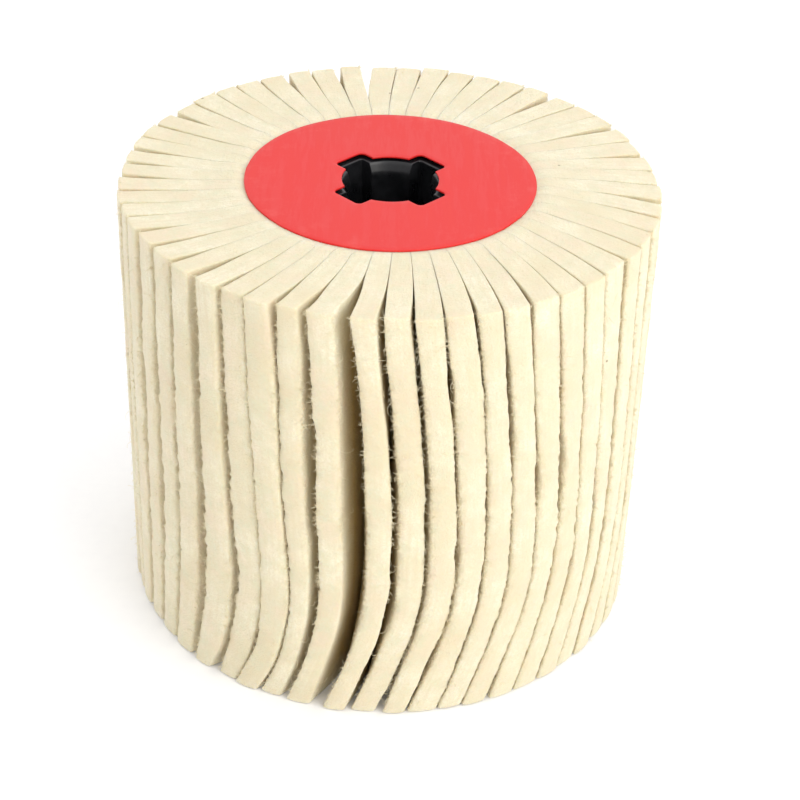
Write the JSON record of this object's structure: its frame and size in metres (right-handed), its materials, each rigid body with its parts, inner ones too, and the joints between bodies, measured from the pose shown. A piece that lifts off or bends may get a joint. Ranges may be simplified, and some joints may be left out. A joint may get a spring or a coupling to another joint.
{
  "type": "felt polishing wheel",
  "caption": "Drum-shaped polishing wheel of felt flaps bonded round a keyed plastic core, with a red label on each end.",
  "frame": {"origin": "centre of the bottom end, on the axis of the bore, where the wheel stands", "axes": "+Z along the bore, up from the end that the wheel stands on; -Y is the front and +X is to the right seen from the front"},
  "size_m": [0.1145, 0.1147, 0.1],
  "materials": {
    "felt": "undyed pressed wool felt, matt, with fine fuzz on its cut edges",
    "label": "red coated card, satin",
    "core": "black moulded plastic, semi-gloss",
    "resin": "cured amber epoxy resin"
  },
  "bodies": {
    "root": {"core_sleeve": "core", "resin_bond": "resin", "end_label_lower": "label", "end_label_upper": "label", "flap_01": "felt", "flap_02": "felt", "flap_03": "felt", "flap_04": "felt", "flap_05": "felt", "flap_06": "felt", "flap_07": "felt", "flap_08": "felt", "flap_09": "felt", "flap_10": "felt", "flap_11": "felt", "flap_12": "felt", "flap_13": "felt", "flap_14": "felt", "flap_15": "felt", "flap_16": "felt", "flap_17": "felt", "flap_18": "felt", "flap_19": "felt", "flap_20": "felt", "flap_21": "felt", "flap_22": "felt", "flap_23": "felt", "flap_24": "felt", "flap_25": "felt", "flap_26": "felt", "flap_27": "felt", "flap_28": "felt", "flap_29": "felt", "flap_30": "felt", "flap_31": "felt", "flap_32": "felt", "flap_33": "felt", "flap_34": "felt", "flap_35": "felt", "flap_36": "felt", "flap_37": "felt", "flap_38": "felt", "flap_39": "felt", "flap_40": "felt", "flap_41": "felt", "flap_42": "felt", "flap_43": "felt", "flap_44": "felt", "flap_45": "felt", "flap_46": "felt", "flap_47": "felt", "flap_48": "felt", "flap_49": "felt", "flap_50": "felt", "flap_51": "felt", "flap_52": "felt", "flap_53": "felt", "flap_54": "felt"}
  },
  "joints": []
}
